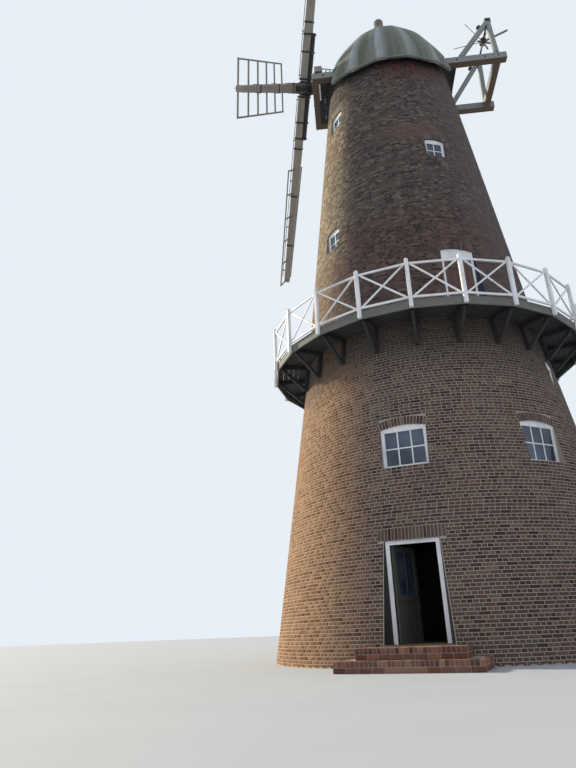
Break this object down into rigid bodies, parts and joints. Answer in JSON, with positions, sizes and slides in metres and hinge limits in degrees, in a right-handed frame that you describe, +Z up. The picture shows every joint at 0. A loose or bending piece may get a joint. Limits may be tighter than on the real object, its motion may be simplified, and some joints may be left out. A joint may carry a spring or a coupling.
{
  "type": "windmill",
  "caption": "Tapered round brick tower windmill with a railed stage, arched windows, a gored dome cap, lattice sails on an iron cross and a fantail.",
  "frame": {"origin": "on the ground under the middle of the tower, level with the lowest ground at its foot", "axes": "+Z up the tower, -Y out through the ground door, +X to the right of a person who faces that door"},
  "size_m": [10.6006, 11.6457, 25.5261],
  "materials": {
    "brick": "weathered brown and purplish brick in lime mortar",
    "ground_paving": "worn paving",
    "floor_timber": "old floor boards",
    "step_brick": "brick on edge",
    "white_joinery": "white paint, weathered",
    "window_glass": "clear window glass",
    "brown_boards": "brown-red painted boards",
    "iron": "dark painted iron with rust",
    "dark_timber": "dark tarred timber",
    "fascia_paint": "grey-green paint, streaked",
    "cap_timber": "old oak beams",
    "dome_cover": "weathered grey-green paint over gored boarding",
    "finial_cover": "weathered pale beige paint",
    "grey_timber": "weathered grey painted timber",
    "sail_timber": "light weathered timber",
    "door_paint": "grey-green painted joinery"
  },
  "bodies": {
    "tower": {"ground_floor": "ground_paving", "over_door_wall": "brick", "front_right_wall": "brick", "right_wall": "brick", "back_right_wall": "brick", "back_wall": "brick", "back_left_wall": "brick", "left_wall": "brick", "front_left_wall": "brick", "door_left_wall": "brick", "upper_floors": "floor_timber", "entrance_steps": "step_brick", "door_frame": "white_joinery", "window_frames": "white_joinery", "window_panes": "window_glass", "stage_door_leaves": "brown_boards", "curb": "iron", "stage_deck": "dark_timber", "stage_fascia": "fascia_paint", "stage_brackets": "dark_timber", "stage_posts": "white_joinery", "stage_panels": "white_joinery", "door_pintles": "iron"},
    "cap": {"cap_ring": "cap_timber", "cap_dome": "dome_cover", "cap_finial": "finial_cover", "sheer_right": "grey_timber", "sheer_left": "grey_timber", "weather_beam": "cap_timber", "tie_beams": "cap_timber", "sprattle_beam": "cap_timber", "fan_frame_right": "grey_timber", "fan_frame_left": "grey_timber"},
    "sails": {"windshaft": "iron", "poll_cross": "iron", "sail_1": "sail_timber", "sail_2": "sail_timber", "sail_3": "sail_timber", "sail_4": "sail_timber", "sail_straps": "iron", "shutter_rods": "iron"},
    "fan": {"fan_wheel": "iron"},
    "door": {"door_leaf": "door_paint", "door_pane": "window_glass", "door_ironwork": "iron"}
  },
  "joints": [
    {"name": "cap_turn", "type": "hinge", "parent": "tower", "child": "cap", "pos_m": [0, 0, 18.56], "axis": [0, 0, 1], "continuous": true},
    {"name": "sails_turn", "type": "hinge", "parent": "cap", "child": "sails", "pos_m": [-2.90717, -0.88881, 19.67], "axis": [-0.9193, -0.281, 0.2756], "continuous": true},
    {"name": "fan_turn", "type": "hinge", "parent": "cap", "child": "fan", "pos_m": [3.58614, 1.09639, 20.95], "axis": [-0.2924, 0.9563, 0], "continuous": true},
    {"name": "door_swing", "type": "hinge", "parent": "tower", "child": "door", "pos_m": [-0.506, -4.02981, 0.42], "axis": [0, 0, 1], "range_deg": [-75, 15]}
  ]
}
